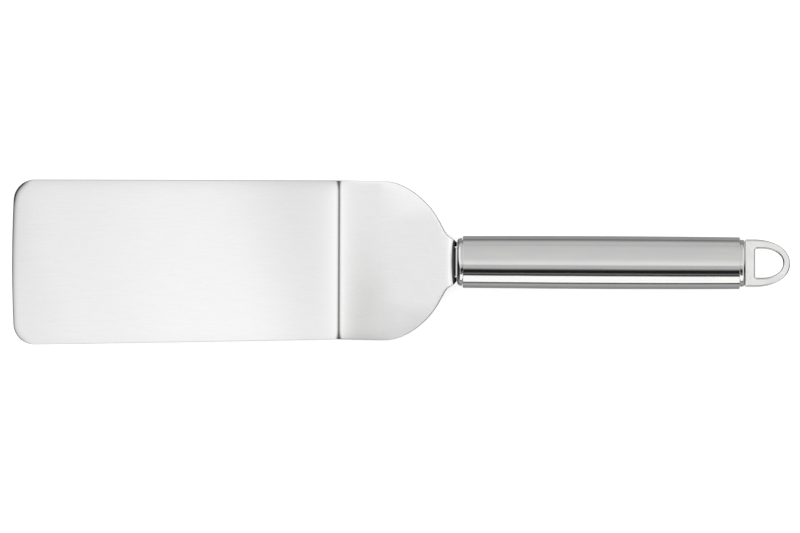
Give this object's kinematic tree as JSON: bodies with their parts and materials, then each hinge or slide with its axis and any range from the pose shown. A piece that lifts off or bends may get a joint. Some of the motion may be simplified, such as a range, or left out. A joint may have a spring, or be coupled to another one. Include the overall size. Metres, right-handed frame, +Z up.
{
  "type": "plancha spatula",
  "caption": "Long flat turner with a bent steel blade, a round polished tube handle and a D-shaped hanging loop.",
  "frame": {"origin": "on the table under the middle of the length: z = 0 is the surface that the crank and the tube lie on, y = 0 is the mirror plane", "axes": "+X from the toe to the hanging loop along the handle, +Y across the blade, +Z up from the table"},
  "size_m": [0.358, 0.0762, 0.0332],
  "materials": {
    "blade_steel": "fine satin, brushed along the blade",
    "polished_steel": "polished stainless steel with faint draw lines",
    "loop_steel": "cast stainless steel, tumbled to a soft satin",
    "plain_steel": "plain turned steel, out of sight"
  },
  "bodies": {
    "root": {"blade": "blade_steel", "front_cap": "polished_steel", "handle_tube": "polished_steel", "rear_cap": "polished_steel", "hanging_loop": "loop_steel", "tie_rod": "plain_steel", "tang_rivet_1": "plain_steel", "tang_rivet_2": "plain_steel"}
  },
  "joints": []
}
